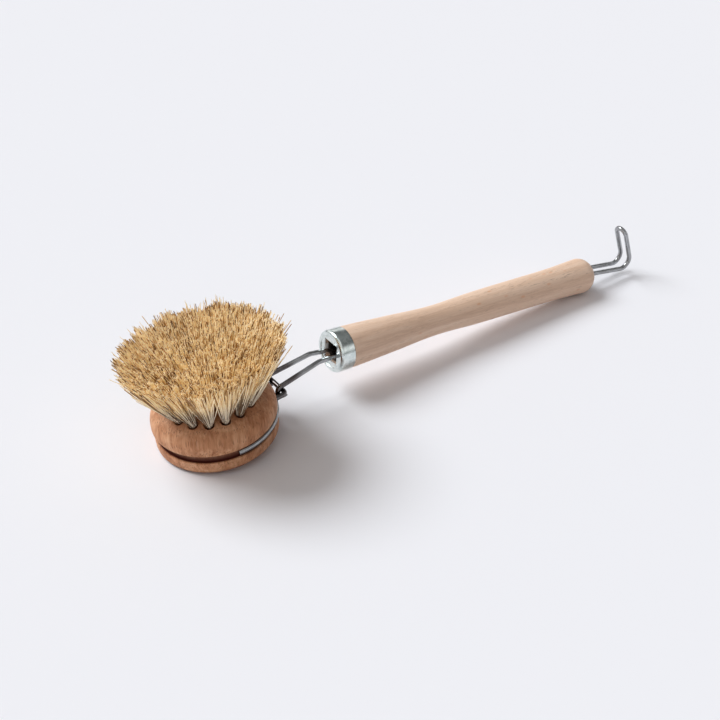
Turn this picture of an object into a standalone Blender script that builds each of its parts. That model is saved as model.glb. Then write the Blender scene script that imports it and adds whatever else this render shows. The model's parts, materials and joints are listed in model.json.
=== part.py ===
"""Round kitchen brush with a turned wooden handle, a wire neck and a wire clip.

The brush lies on its back, as it does on a draining board. +Z is up, +X runs from the
brush head to the hanging hook, and +Y points away from the viewer. One bent wire makes
the hook, runs through the handle as two strands and ends in two eyes. A second wire, the
clip, passes through both eyes and springs into the groove of the wooden head, so the
head nods about the clip's cross bar and spins in the clip. Lengths are in metres.
"""
import math

import bmesh
import bpy
from mathutils import Matrix, Vector

# Play between pieces that touch, and overrun of every cut and fused root
PLAY = 0.0003
OVERRUN = 0.0010
WELD_DISTANCE = 0.00001
SHARP_ANGLE = math.radians(35)

# Spring wire, the same for the neck, the hook and the clip
WIRE_RADIUS = 0.00105

# Head block: radii and heights above its flat back
HEAD_LEAN = math.radians(7.0)
BACK_FLAT_RADIUS = 0.0225
BACK_EDGE = 0.0020
FLANGE_HEIGHT = 0.0054
GROOVE_DEPTH = 0.0015
GROOVE_WIDTH = 0.0040
LIP_OVERHANG = 0.0005
LIP_LAND = 0.0006
EDGE_BREAK = 0.0004
DOME_TOP = 0.0210
DOME_FULLNESS = 2.5
BLOCK_STEPS = 32
DOME_STEPS = 9
EDGE_STEPS = 3

# Tufts: the outer ring first, each drilled square to its own fan direction
TUFT_COUNTS = (17, 11, 5, 1)
TUFT_PHASES = (math.radians(5.8), math.radians(4.0), math.radians(20.0), 0.0)
HOLE_RADIUS = 0.0020
HOLE_WALL = 0.00175
HOLE_DEPTH = 0.0070
HOLE_SIDES = 12
PLUG_SINK = 0.0002

# Bristles: trimmed on a crowned plane that rises towards the viewer
BRISTLE_RADIUS = 0.0335
BRISTLE_HEIGHT = 0.0428
TRIM_CROWN = 0.0020
TRIM_TILT = math.radians(6.1)
TRIM_HEADING = math.radians(-98.0)
STRAND_COUNTS = (3, 9)
STRAND_RING_SHARES = (0.36, 1.0)
STRAND_ROOT_RADIUS = 0.00034
STRAND_TIP_RADIUS = 0.00040
STRAND_SIDES = 3
TIP_CELL_SHARE = 0.9

# Clip: a wire in the groove, open opposite its cross bar, which the two eyes hold
CLIP_PLACE_SHARE = 0.62
CLIP_END_ANGLE = math.radians(98.0)
CLIP_BEND_RADIUS = 0.0018
EYE_SPREAD = 0.0046
EYE_SWEEP = math.radians(205.0)

# Handle and ferrule: distances run from the ferrule's front face towards the hook
HANDLE_SLOPE = math.radians(4.94)
NECK_SPAN = 0.0257
FERRULE_RADIUS = 0.0090
FERRULE_LENGTH = 0.0066
FERRULE_WALL = 0.0006
FERRULE_EDGE = 0.0014
FACE_RECESS = 0.0003
FACE_RECESS_RADIUS = 0.0066
WINDOW_PLAY = 0.0005
TAB_WIDTH = 0.0030
TAB_DEPTH = 0.0010
TAB_THICKNESS = 0.0004
HANDLE_LENGTH = 0.1366
HANDLE_RADIUS = 0.0088
HANDLE_RADIUS_SHARES = (1.0, 0.870, 0.727, 0.797, 0.817, 0.827, 0.935)
HANDLE_END_ROUNDING = 0.0060
BORE_CHAMFER = 0.0010
HANDLE_STEPS = 32
OUTLINE_STEPS = 3
ROUNDING_STEPS = 4

# Wire through the handle: a spread is half the distance between the two strands
NECK_REACH = 0.0077
NECK_SPREAD = 0.0034
NECK_DROP = 0.0006
NECK_BEND_RADIUS = 0.0077
ENTRY_SPREAD = 0.0024
ENTRY_DROP = 0.0009
EXIT_SPREAD = 0.00275
EXIT_RISE = 0.0010
HOOK_DROOP = math.radians(6.0)
HOOK_REACH = 0.0258
HOOK_SPREAD = 0.0029
HOOK_RISE = 0.0225
HOOK_ANGLE = math.radians(60.8)
HOOK_BEND_RADIUS = 0.0043
BEND_STEPS = 5
EYE_STEPS = 8
RING_STEPS = 14

# Sizes that follow from those above
FLANGE_RADIUS = BACK_FLAT_RADIUS + BACK_EDGE
GROOVE_RADIUS = FLANGE_RADIUS - GROOVE_DEPTH
LIP_RADIUS = FLANGE_RADIUS + LIP_OVERHANG
GROOVE_TOP = FLANGE_HEIGHT + GROOVE_WIDTH
DOME_FOOT = GROOVE_TOP + LIP_LAND
CLIP_HEIGHT = FLANGE_HEIGHT + GROOVE_WIDTH * CLIP_PLACE_SHARE
CLIP_RADIUS = GROOVE_RADIUS + PLAY + WIRE_RADIUS
EYE_RADIUS = 2 * WIRE_RADIUS + PLAY
BAR_DISTANCE = LIP_RADIUS + PLAY + EYE_RADIUS + WIRE_RADIUS
LEG_SPREAD = EYE_SPREAD + 2 * WIRE_RADIUS + PLAY
STRAND_OFFSET = max(math.hypot(EXIT_SPREAD, EXIT_RISE), math.hypot(ENTRY_SPREAD, ENTRY_DROP))
BORE_RADIUS = STRAND_OFFSET + WIRE_RADIUS + PLAY
TENON_FRONT = FACE_RECESS + FERRULE_WALL + PLAY
TENON_RADIUS = FERRULE_RADIUS - FERRULE_WALL - PLAY
WINDOW_SIDE = 2 * (ENTRY_SPREAD + WIRE_RADIUS + TAB_THICKNESS + WINDOW_PLAY)
MOUTH_RADIUS = math.hypot(WINDOW_SIDE / 2 + TAB_THICKNESS, TAB_WIDTH / 2) + PLAY
HANDLE_SHOULDER = FERRULE_LENGTH + PLAY
HANDLE_END = HANDLE_SHOULDER + HANDLE_LENGTH
TUFT_PITCH = 2 * HOLE_RADIUS + HOLE_WALL
PLUG_RADIUS = HOLE_RADIUS - PLAY
STRAND_RING_RADIUS = PLUG_RADIUS - STRAND_TIP_RADIUS

WOOD = ("beech", (0.66, 0.47, 0.35), 0.55, 0.0)
HEAD_WOOD = ("head_beech", (0.50, 0.33, 0.23), 0.55, 0.0)
ZINC = ("zinc", (0.70, 0.74, 0.74), 0.30, 1.0)
STEEL = ("steel_wire", (0.45, 0.46, 0.47), 0.32, 1.0)
BRISTLE = ("bristle", (0.72, 0.56, 0.34), 0.60, 0.0)


def clear_scene():
    """Remove everything that the file holds before modelling."""
    for item in list(bpy.data.objects):
        bpy.data.objects.remove(item, do_unlink=True)


def collection(name):
    """A new collection in the scene."""
    made = bpy.data.collections.new(name)
    bpy.context.scene.collection.children.link(made)
    return made


def material(finish):
    """The Principled material of a finish, made once."""
    name, colour, roughness, metallic = finish
    found = bpy.data.materials.get(name)
    if found:
        return found
    made = bpy.data.materials.new(name)
    made.use_nodes = True
    shader = made.node_tree.nodes["Principled BSDF"]
    shader.inputs["Base Color"].default_value = (*colour, 1.0)
    shader.inputs["Roughness"].default_value = roughness
    shader.inputs["Metallic"].default_value = metallic
    return made


def placed(name, data, group, finish=None, parent=None, matrix=None):
    """An object in a collection, under a parent, with its finish."""
    made = bpy.data.objects.new(name, data)
    group.objects.link(made)
    made.parent = parent
    if matrix is not None:
        made.matrix_local = matrix
    if finish:
        data.materials.append(material(finish))
    return made


def as_tool(tool):
    """Mark a cutter or a guide, which only modifiers use."""
    tool.hide_render = True
    tool.display_type = "WIRE"
    return tool


def mesh_of(name, work, smooth=True):
    """A mesh from a bmesh, shaded smooth up to a sharp angle."""
    made = bpy.data.meshes.new(name)
    work.to_mesh(made)
    work.free()
    if smooth:
        made.shade_smooth()
        made.set_sharp_from_angle(angle=SHARP_ANGLE)
    return made


def turned(name, outline, steps, group, finish, parent, matrix=None):
    """A turned piece: an outline of (radius, height) pairs with a Screw modifier.

    The outline starts half a facet off the X axis, so the piece rests on a facet.
    """
    half_facet = Matrix.Rotation(math.pi / steps, 3, "Z")
    work = bmesh.new()
    points = [work.verts.new(half_facet @ Vector((radius, 0, height))) for radius, height in outline]
    for first, second in zip(points, points[1:]):
        work.edges.new((first, second))
    if outline[0][0] > 0:
        work.edges.new((points[-1], points[0]))
    made = placed(name, mesh_of(name, work, False), group, finish, parent, matrix)
    screw = made.modifiers.new("turn", "SCREW")
    screw.steps = steps
    screw.render_steps = steps
    screw.use_merge_vertices = True
    screw.merge_threshold = WELD_DISTANCE
    screw.use_smooth_shade = True
    return made


def boolean(target, tool, operation):
    """A Boolean modifier with the exact solver."""
    step = target.modifiers.new(tool.name, "BOOLEAN")
    step.operation = operation
    step.solver = "EXACT"
    step.object = tool


def wire(name, points, group, finish, parent, matrix=None):
    """A round wire along its centre line."""
    curve = bpy.data.curves.new(name, "CURVE")
    curve.dimensions = "3D"
    curve.bevel_depth = WIRE_RADIUS
    curve.bevel_resolution = 2
    curve.use_fill_caps = True
    spline = curve.splines.new("POLY")
    spline.points.add(len(points) - 1)
    for target, point in zip(spline.points, points):
        target.co = (*point, 1.0)
    spline.use_smooth = True
    return placed(name, curve, group, finish, parent, matrix)


def arc(centre, start, axis, angle, steps):
    """Points on the arc that turns start about centre, both ends included."""
    turns = [Matrix.Rotation(angle * step / steps, 3, axis) for step in range(steps + 1)]
    return [centre + turn @ (start - centre) for turn in turns]


def bend(before, corner, after, radius, steps):
    """Points of the round bend that replaces a corner of a wire."""
    back = (before - corner).normalized()
    ahead = (after - corner).normalized()
    half = back.angle(ahead) / 2
    start = corner + back * radius / math.tan(half)
    centre = corner + (back + ahead).normalized() * radius / math.sin(half)
    return arc(centre, start, ahead.cross(back), math.pi - 2 * half, steps)


def dome_height(radius):
    """Height of the dome's surface over the flat back."""
    share = (radius / LIP_RADIUS) ** DOME_FULLNESS
    return DOME_FOOT + (DOME_TOP - DOME_FOOT) * (1 - share) ** (1 / DOME_FULLNESS)


def trim_height(x, y):
    """Height of the trimmed bristle tips over the flat back."""
    ahead = x * math.cos(TRIM_HEADING) + y * math.sin(TRIM_HEADING)
    crown = TRIM_CROWN * (1 - (x * x + y * y) / BRISTLE_RADIUS ** 2)
    return BRISTLE_HEIGHT + ahead * math.tan(TRIM_TILT) + crown


def head_frame():
    """Head block's frame at x = 0: Z along its axis, its back's toe edge on the table."""
    toe = BACK_FLAT_RADIUS * math.cos(math.pi / BLOCK_STEPS)
    lift = toe * math.sin(HEAD_LEAN) + BACK_EDGE * (1 - math.cos(HEAD_LEAN))
    return Matrix.Translation((0, 0, lift)) @ Matrix.Rotation(-HEAD_LEAN, 4, "Y")


def handle_radius(share):
    """Radius of the handle at a share of its length, smooth through the stations."""
    spans = len(HANDLE_RADIUS_SHARES) - 1
    place = min(share * spans, spans - WELD_DISTANCE)
    index = int(place)
    t = place - index
    ends = (HANDLE_RADIUS_SHARES[0], *HANDLE_RADIUS_SHARES, HANDLE_RADIUS_SHARES[-1])
    a, b, c, d = ends[index:index + 4]
    smooth = b + t * (c - a + t * (2 * a - 5 * b + 4 * c - d + t * (3 * b - a - 3 * c + d))) / 2
    return HANDLE_RADIUS * smooth


def handle_outline():
    """The handle's outer side from the bore at its rounded hook end to the ferrule's shoulder."""
    straight = HANDLE_LENGTH - HANDLE_END_ROUNDING
    last = handle_radius(straight / HANDLE_LENGTH)
    wall = min(last - BORE_RADIUS - EDGE_BREAK, HANDLE_END_ROUNDING)
    first = math.asin(1 - wall / HANDLE_END_ROUNDING)
    points = []
    for step in range(ROUNDING_STEPS):
        angle = first + (math.pi / 2 - first) * step / ROUNDING_STEPS
        height = HANDLE_END - HANDLE_END_ROUNDING * (1 - math.cos(angle))
        points.append((last - HANDLE_END_ROUNDING * (1 - math.sin(angle)), height))
    spans = (len(HANDLE_RADIUS_SHARES) - 1) * OUTLINE_STEPS
    for step in range(spans, -1, -1):
        length = straight * step / spans
        points.append((handle_radius(length / HANDLE_LENGTH), HANDLE_SHOULDER + length))
    return points


def handle_frame(bar):
    """Handle's frame: Z along it towards the hook, its lowest place on the table."""
    across = math.cos(HANDLE_SLOPE) * math.cos(math.pi / HANDLE_STEPS)
    down = math.sin(HANDLE_SLOPE)
    lift = max(radius * across + along * down for radius, along in handle_outline())
    turn = Matrix.Rotation(math.pi / 2 + HANDLE_SLOPE, 4, "Y")
    return Matrix.Translation((bar.x + NECK_SPAN, 0, lift)) @ turn


def eye_half(bar, frame):
    """One eye and its arm, up to the strand's entry into the ferrule."""
    entry = frame @ Vector((ENTRY_DROP, ENTRY_SPREAD, TENON_FRONT))
    neck = frame @ Vector((NECK_DROP, NECK_SPREAD, -NECK_REACH))
    middle = bar + Vector((0, EYE_SPREAD, 0))
    flat = Vector((neck.x - middle.x, 0, neck.z - middle.z))
    lift = math.acos(EYE_RADIUS / flat.length)
    touch = middle + Matrix.Rotation(-lift, 3, "Y") @ flat.normalized() * EYE_RADIUS
    eye = arc(middle, touch, Vector((0, -1, 0)), EYE_SWEEP, EYE_STEPS)
    return eye[::-1] + bend(touch, neck, entry, NECK_BEND_RADIUS, BEND_STEPS) + [entry]


def neck_and_hook_path(bar, frame):
    """Centre line of the one wire that makes both eyes, the neck and the hook."""
    leave = Vector((-EXIT_RISE, EXIT_SPREAD, HANDLE_END))
    droop = HOOK_REACH * math.sin(HOOK_DROOP)
    along = HOOK_REACH * math.cos(HOOK_DROOP)
    corner = Vector((droop - EXIT_RISE, HOOK_SPREAD, HANDLE_END + along))
    lean = HOOK_ANGLE + HOOK_DROOP
    riser = Vector((-math.sin(lean), 0, -math.cos(lean)))
    shoulder = corner + riser * (HOOK_RISE - HOOK_SPREAD)
    half = [leave] + bend(leave, corner, shoulder, HOOK_BEND_RADIUS, BEND_STEPS)
    half = eye_half(bar, frame) + [frame @ point for point in half]
    top = shoulder - Vector((0, HOOK_SPREAD, 0))
    across = riser.cross(Vector((0, 1, 0)))
    crown = [frame @ point for point in arc(top, shoulder, -across, math.pi, 2 * BEND_STEPS)]
    mirrored = [Vector((point.x, -point.y, point.z)) for point in reversed(half)]
    return half + crown + mirrored


def clip_path():
    """Centre line of the clip in the head's frame, from one free end to the other."""
    step_out = math.asin(LEG_SPREAD / CLIP_RADIUS)
    hub = Vector((0, 0, CLIP_HEIGHT))
    leg = Vector((CLIP_RADIUS * math.cos(step_out), LEG_SPREAD, CLIP_HEIGHT))
    corner = Vector((BAR_DISTANCE, LEG_SPREAD, CLIP_HEIGHT))
    middle = Vector((BAR_DISTANCE, 0, CLIP_HEIGHT))
    ease = step_out + CLIP_BEND_RADIUS / CLIP_RADIUS
    start = hub + Matrix.Rotation(ease, 3, "Z") @ Vector((CLIP_RADIUS, 0, 0))
    ring = arc(hub, start, Vector((0, 0, 1)), CLIP_END_ANGLE - ease, RING_STEPS)
    half = ring[::-1] + bend(start, leg, corner, CLIP_BEND_RADIUS / 2, BEND_STEPS)
    half += bend(leg, corner, middle, CLIP_BEND_RADIUS, BEND_STEPS)
    return half + [Vector((point.x, -point.y, point.z)) for point in reversed(half)]


def tuft_frames():
    """Every tuft's name, frame (Z along its fan direction), tip centre and cell size."""
    rings = len(TUFT_COUNTS)
    cell = BRISTLE_RADIUS / (2 * rings - 1)
    for ring, count in enumerate(TUFT_COUNTS):
        root_radius = TUFT_PITCH * (rings - 1 - ring)
        tip_radius = cell * 2 * (rings - 1 - ring)
        half_arc = math.pi * tip_radius / count if tip_radius else cell
        for index in range(count):
            turn = Matrix.Rotation(TUFT_PHASES[ring] + math.tau * index / count, 4, "Z")
            root = turn @ Vector((root_radius, 0, dome_height(root_radius)))
            tip = turn @ Vector((tip_radius, 0, 0))
            tip.z = trim_height(tip.x, tip.y)
            radial = turn @ Vector((1, 0, 0))
            along = (tip - root).normalized()
            side = along.cross(radial).normalized()
            ahead = side.cross(along)
            frame = Matrix((ahead, side, along)).transposed().to_4x4()
            frame.translation = root
            yield f"tuft_{ring + 1}_{index + 1:02d}", frame, turn, tip_radius, (cell, half_arc)


def strands(frame, turn, tip_radius, cell):
    """Root and tip of every strand of a tuft, in the tuft's own frame."""
    inverse = frame.inverted()
    for ring, count in enumerate(STRAND_COUNTS):
        share = STRAND_RING_SHARES[ring]
        for index in range(count):
            angle = math.tau * (index + ring / 2) / count
            ahead, side = math.cos(angle) * share, math.sin(angle) * share
            root = Vector((ahead * STRAND_RING_RADIUS, side * STRAND_RING_RADIUS, 0))
            reach = ahead * cell[0] * TIP_CELL_SHARE
            swing = side * cell[1] * TIP_CELL_SHARE
            tip = turn @ Vector((tip_radius + reach, swing, 0))
            tip.z = trim_height(tip.x, tip.y)
            yield root, inverse @ tip


def add_cone(work, start, end, start_radius, end_radius, sides):
    """A closed cone or cylinder between two points, added to a bmesh."""
    along = end - start
    turn = along.to_track_quat("Z", "Y").to_matrix().to_4x4()
    centre = Matrix.Translation((start + end) / 2) @ turn
    bmesh.ops.create_cone(work, cap_ends=True, segments=sides, radius1=start_radius,
                          radius2=end_radius, depth=along.length, matrix=centre)


def add_box(work, low, high):
    """A box between two corners, added to a bmesh."""
    size = Matrix.Diagonal((*(high - low), 1))
    bmesh.ops.create_cube(work, size=1, matrix=Matrix.Translation((low + high) / 2) @ size)


def make_head_block(group, tools, spin):
    """The turned block: flat back, flange, groove, domed top and blind tuft holes."""
    outline = []
    for step in range(DOME_STEPS + 1):
        angle = math.pi / 2 * step / DOME_STEPS
        radius = LIP_RADIUS * math.sin(angle) ** (2 / DOME_FULLNESS)
        height = (DOME_TOP - DOME_FOOT) * math.cos(angle) ** (2 / DOME_FULLNESS)
        outline.append((radius, DOME_FOOT + height))
    outline += [(LIP_RADIUS, GROOVE_TOP + EDGE_BREAK),
                (LIP_RADIUS - EDGE_BREAK, GROOVE_TOP),
                (GROOVE_RADIUS, GROOVE_TOP),
                (GROOVE_RADIUS, FLANGE_HEIGHT),
                (FLANGE_RADIUS - EDGE_BREAK, FLANGE_HEIGHT),
                (FLANGE_RADIUS, FLANGE_HEIGHT - EDGE_BREAK)]
    for step in range(EDGE_STEPS + 1):
        angle = math.pi / 2 * step / EDGE_STEPS
        outline.append((BACK_FLAT_RADIUS + BACK_EDGE * math.cos(angle),
                        BACK_EDGE * (1 - math.sin(angle))))
    outline.append((0, 0))
    block = turned("head_block", outline, BLOCK_STEPS, group, HEAD_WOOD, spin)
    work = bmesh.new()
    for _, frame, *_ in tuft_frames():
        mouth = frame @ Vector((0, 0, HOLE_RADIUS + OVERRUN))
        bottom = frame @ Vector((0, 0, -HOLE_DEPTH))
        add_cone(work, bottom, mouth, HOLE_RADIUS, HOLE_RADIUS, HOLE_SIDES)
    holes = as_tool(placed("tuft_holes", mesh_of("tuft_holes", work), tools, None, spin))
    boolean(block, holes, "DIFFERENCE")


def make_tufts(group, tools, spin):
    """Every tuft: a bound root in its hole, with strands that fan out to the trim."""
    for name, frame, turn, tip_radius, cell in tuft_frames():
        work = bmesh.new()
        bottom = Vector((0, 0, PLAY - HOLE_DEPTH))
        add_cone(work, bottom, Vector((0, 0, -PLUG_SINK)), PLUG_RADIUS, PLUG_RADIUS, HOLE_SIDES)
        root = placed(name, mesh_of(name, work), group, BRISTLE, spin, frame)
        work = bmesh.new()
        for start, tip in strands(frame, turn, tip_radius, cell):
            buried = start - (tip - start).normalized() * OVERRUN
            add_cone(work, buried, tip, STRAND_ROOT_RADIUS, STRAND_TIP_RADIUS, STRAND_SIDES)
        fan_name = name + "_strands"
        fan = as_tool(placed(fan_name, mesh_of(fan_name, work, False), tools, None, spin, frame))
        boolean(root, fan, "UNION")


def make_ferrule(group, tools, frame):
    """The drawn cap: rounded edge, recessed face, square window with two turned-in tabs."""
    inner = FERRULE_RADIUS - FERRULE_WALL
    inner_edge = FERRULE_EDGE - FERRULE_WALL
    face = FACE_RECESS + FERRULE_WALL
    outline = [(0, face), (FACE_RECESS_RADIUS, face),
               (FACE_RECESS_RADIUS + FACE_RECESS, FERRULE_WALL)]
    for step in range(EDGE_STEPS + 1):
        angle = math.pi / 2 * step / EDGE_STEPS
        outline.append((inner - inner_edge * (1 - math.sin(angle)),
                        FERRULE_WALL + inner_edge * (1 - math.cos(angle))))
    outline += [(inner, FERRULE_LENGTH), (FERRULE_RADIUS, FERRULE_LENGTH)]
    for step in range(EDGE_STEPS + 1):
        angle = math.pi / 2 * step / EDGE_STEPS
        outline.append((FERRULE_RADIUS - FERRULE_EDGE * (1 - math.cos(angle)),
                        FERRULE_EDGE * (1 - math.sin(angle))))
    outline += [(FACE_RECESS_RADIUS + FACE_RECESS, 0), (FACE_RECESS_RADIUS, FACE_RECESS),
                (0, FACE_RECESS)]
    cap = turned("ferrule", outline, HANDLE_STEPS, group, ZINC, None, frame)
    half = WINDOW_SIDE / 2
    work = bmesh.new()
    add_box(work, Vector((-half, -half, -OVERRUN)), Vector((half, half, face + OVERRUN)))
    window = as_tool(placed("window", mesh_of("window", work, False), tools, None, None, frame))
    boolean(cap, window, "DIFFERENCE")
    work = bmesh.new()
    for side in (-1, 1):
        across = sorted((side * (half - TAB_THICKNESS), side * (half + TAB_THICKNESS)))
        low = Vector((-TAB_WIDTH / 2, across[0], face - FERRULE_WALL / 2))
        add_box(work, low, Vector((TAB_WIDTH / 2, across[1], face + TAB_DEPTH)))
    tabs = as_tool(placed("tabs", mesh_of("tabs", work, False), tools, None, None, frame))
    boolean(cap, tabs, "UNION")


def make_handle(group, frame):
    """The turned handle: shaped grip, tenon inside the ferrule and a bore for the wire."""
    outline = handle_outline()
    outline += [(TENON_RADIUS, HANDLE_SHOULDER), (TENON_RADIUS, TENON_FRONT),
                (MOUTH_RADIUS, TENON_FRONT), (MOUTH_RADIUS, TENON_FRONT + TAB_DEPTH),
                (BORE_RADIUS, TENON_FRONT + TAB_DEPTH + BORE_CHAMFER),
                (BORE_RADIUS, outline[0][1] - EDGE_BREAK)]
    turned("handle", outline, HANDLE_STEPS, group, WOOD, None, frame)


def build():
    """Model the whole brush, centred over the origin between its two ends."""
    clear_scene()
    group = collection("kitchen_brush")
    tools = collection("cutters")
    head = head_frame()
    bar = head @ Vector((BAR_DISTANCE, 0, CLIP_HEIGHT))
    frame = handle_frame(bar)
    path = neck_and_hook_path(bar, frame)
    tips = [head @ tuft @ tip for _, tuft, turn, radius, cell in tuft_frames()
            for _, tip in strands(tuft, turn, radius, cell)]
    toe_end = min(tip.x for tip in tips) - STRAND_TIP_RADIUS
    hook_end = max(point.x for point in path) + WIRE_RADIUS
    centring = Matrix.Translation((-(toe_end + hook_end) / 2, 0, 0))

    tilt = placed("head_tilt_axis", None, group, None, None, centring @ Matrix.Translation(bar))
    spin_place = Matrix.Translation(-bar) @ head
    spin = placed("head_spin_axis", None, group, None, tilt, spin_place)

    make_handle(group, centring @ frame)
    make_ferrule(group, tools, centring @ frame)
    wire("handle_wire", path, group, STEEL, None, centring)
    wire("head_clip", clip_path(), group, STEEL, tilt, spin_place)
    make_head_block(group, tools, spin)
    make_tufts(group, tools, spin)


build()
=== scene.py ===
"""Looks of a round kitchen brush: turned beech, drawn wire, a zinc cap and natural bristle.

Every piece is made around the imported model's frame and stands for one or more of its
nodes. Lengths are in metres. +Z is up, +X runs from the brush head to the hanging hook.
"""
import json
import math

import bmesh
import bpy
from mathutils import Matrix, Vector


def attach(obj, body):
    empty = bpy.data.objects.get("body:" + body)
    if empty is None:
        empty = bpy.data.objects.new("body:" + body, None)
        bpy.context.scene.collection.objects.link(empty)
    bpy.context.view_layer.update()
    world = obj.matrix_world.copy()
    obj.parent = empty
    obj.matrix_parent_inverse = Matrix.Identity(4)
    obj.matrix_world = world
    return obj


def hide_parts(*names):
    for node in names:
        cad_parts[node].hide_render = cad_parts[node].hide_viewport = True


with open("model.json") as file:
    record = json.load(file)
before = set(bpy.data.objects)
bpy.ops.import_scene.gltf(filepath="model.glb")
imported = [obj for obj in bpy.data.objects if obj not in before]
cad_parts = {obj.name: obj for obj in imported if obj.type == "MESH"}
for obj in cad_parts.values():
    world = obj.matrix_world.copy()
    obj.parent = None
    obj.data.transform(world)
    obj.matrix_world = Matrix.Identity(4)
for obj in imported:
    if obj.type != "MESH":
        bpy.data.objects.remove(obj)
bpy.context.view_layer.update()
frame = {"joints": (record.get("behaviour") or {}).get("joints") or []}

# Clearance between pieces, and overrun of every cut
PLAY = 0.0003
OVERRUN = 0.0010
WELD_DISTANCE = 0.000002
SHARP_ANGLE = math.radians(38)

# Spring wire, the same for the neck, the hook and the clip
WIRE_RADIUS = 0.00105
WIRE_SIDES = 24

# Head block: radii and heights above its flat back
HEAD_LEAN = math.radians(7.0)
BACK_FLAT_RADIUS = 0.0225
BACK_EDGE = 0.0020
FLANGE_HEIGHT = 0.0054
GROOVE_DEPTH = 0.0015
GROOVE_WIDTH = 0.0040
LIP_OVERHANG = 0.0005
LIP_LAND = 0.0006
EDGE_BREAK = 0.0004
DOME_TOP = 0.0210
DOME_FULLNESS = 2.5
BLOCK_STEPS = 160
DOME_STEPS = 26
EDGE_STEPS = 6

# Tufts: the outer ring first, each drilled square to its own fan direction
TUFT_COUNTS = (17, 11, 5, 1)
TUFT_PHASES = (math.radians(5.8), math.radians(4.0), math.radians(20.0), 0.0)
HOLE_RADIUS = 0.0020
HOLE_WALL = 0.00175
HOLE_DEPTH = 0.0070
HOLE_SIDES = 28
HOLE_SINK = 0.00035

# Bristles: trimmed on a crowned plane that rises towards -Y
BRISTLE_RADIUS = 0.0335
BRISTLE_HEIGHT = 0.0428
TRIM_CROWN = 0.0020
TRIM_TILT = math.radians(6.1)
TRIM_HEADING = math.radians(-98.0)
BRISTLES_A_TUFT = 400
BRISTLE_POINTS = 5
BRISTLE_SIDES = 3
BRISTLE_THICKNESS = 0.000175
BRISTLE_STRAY = 0.60
BRISTLE_UNEVENNESS = 0.0022
CLUMP_DEPTH = 0.0020
CLUMP_SCALE = 330.0
CLUMP_EDGES = (0.40, 0.62)
BRISTLE_SEEDS = (11, 41)

# One bristle: how far any of them leaves its place, which stray, its bow and its taper
BRISTLE_LOOSENESS = 0.26
STRAY_FROM = 0.90
BOW_PLACE = 0.44
BOW_HEIGHT = 0.05
BOW_SPREAD = (0.0016, 0.0016, 0.0010)
ROOT_THICKNESS = 0.55
BODY_THICKNESS = 1.5
TIP_THICKNESS = 0.3
TONE_THICKNESS = (0.8, 0.4)

# Clip: a wire in the groove, open opposite its cross bar, which the two eyes hold
CLIP_PLACE_SHARE = 0.62
CLIP_END_ANGLE = math.radians(98.0)
CLIP_BEND_RADIUS = 0.0018
EYE_SPREAD = 0.0046
EYE_SWEEP = math.radians(205.0)

# Handle and ferrule: distances run from the ferrule's front face towards the hook
HANDLE_SLOPE = math.radians(4.94)
NECK_SPAN = 0.0257
FERRULE_RADIUS = 0.0090
FERRULE_LENGTH = 0.0066
FERRULE_WALL = 0.0006
FERRULE_EDGE = 0.0014
FACE_RECESS = 0.0003
FACE_RECESS_RADIUS = 0.0066
WINDOW_PLAY = 0.0005
TAB_WIDTH = 0.0030
TAB_DEPTH = 0.0010
TAB_THICKNESS = 0.0004
HANDLE_LENGTH = 0.1366
HANDLE_RADIUS = 0.0088
HANDLE_RADIUS_SHARES = (1.0, 0.870, 0.727, 0.797, 0.817, 0.827, 0.935)
HANDLE_END_ROUNDING = 0.0060
BORE_CHAMFER = 0.0010
HANDLE_STEPS = 128
OUTLINE_STEPS = 12
ROUNDING_STEPS = 10

# Wire through the handle: a spread is half the distance between the two strands
NECK_REACH = 0.0077
NECK_SPREAD = 0.0034
NECK_DROP = 0.0006
NECK_BEND_RADIUS = 0.0077
ENTRY_SPREAD = 0.0024
ENTRY_DROP = 0.0009
EXIT_SPREAD = 0.00275
EXIT_RISE = 0.0010
HOOK_DROOP = math.radians(6.0)
HOOK_REACH = 0.0258
HOOK_SPREAD = 0.0029
HOOK_RISE = 0.0225
HOOK_ANGLE = math.radians(60.8)
HOOK_BEND_RADIUS = 0.0043
BEND_STEPS = 14
EYE_STEPS = 28
RING_STEPS = 70

# Sizes that follow from those above
FLANGE_RADIUS = BACK_FLAT_RADIUS + BACK_EDGE
GROOVE_RADIUS = FLANGE_RADIUS - GROOVE_DEPTH
LIP_RADIUS = FLANGE_RADIUS + LIP_OVERHANG
GROOVE_TOP = FLANGE_HEIGHT + GROOVE_WIDTH
DOME_FOOT = GROOVE_TOP + LIP_LAND
CLIP_HEIGHT = FLANGE_HEIGHT + GROOVE_WIDTH * CLIP_PLACE_SHARE
CLIP_RADIUS = GROOVE_RADIUS + PLAY + WIRE_RADIUS
EYE_RADIUS = 2 * WIRE_RADIUS + PLAY
BAR_DISTANCE = LIP_RADIUS + PLAY + EYE_RADIUS + WIRE_RADIUS
LEG_SPREAD = EYE_SPREAD + 2 * WIRE_RADIUS + PLAY
STRAND_OFFSET = max(math.hypot(EXIT_SPREAD, EXIT_RISE), math.hypot(ENTRY_SPREAD, ENTRY_DROP))
BORE_RADIUS = STRAND_OFFSET + WIRE_RADIUS + PLAY
TENON_FRONT = FACE_RECESS + FERRULE_WALL + PLAY
TENON_RADIUS = FERRULE_RADIUS - FERRULE_WALL - PLAY
WINDOW_SIDE = 2 * (ENTRY_SPREAD + WIRE_RADIUS + TAB_THICKNESS + WINDOW_PLAY)
MOUTH_RADIUS = math.hypot(WINDOW_SIDE / 2 + TAB_THICKNESS, TAB_WIDTH / 2) + PLAY
HANDLE_SHOULDER = FERRULE_LENGTH + PLAY
HANDLE_END = HANDLE_SHOULDER + HANDLE_LENGTH
TUFT_PITCH = 2 * HOLE_RADIUS + HOLE_WALL

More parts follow.
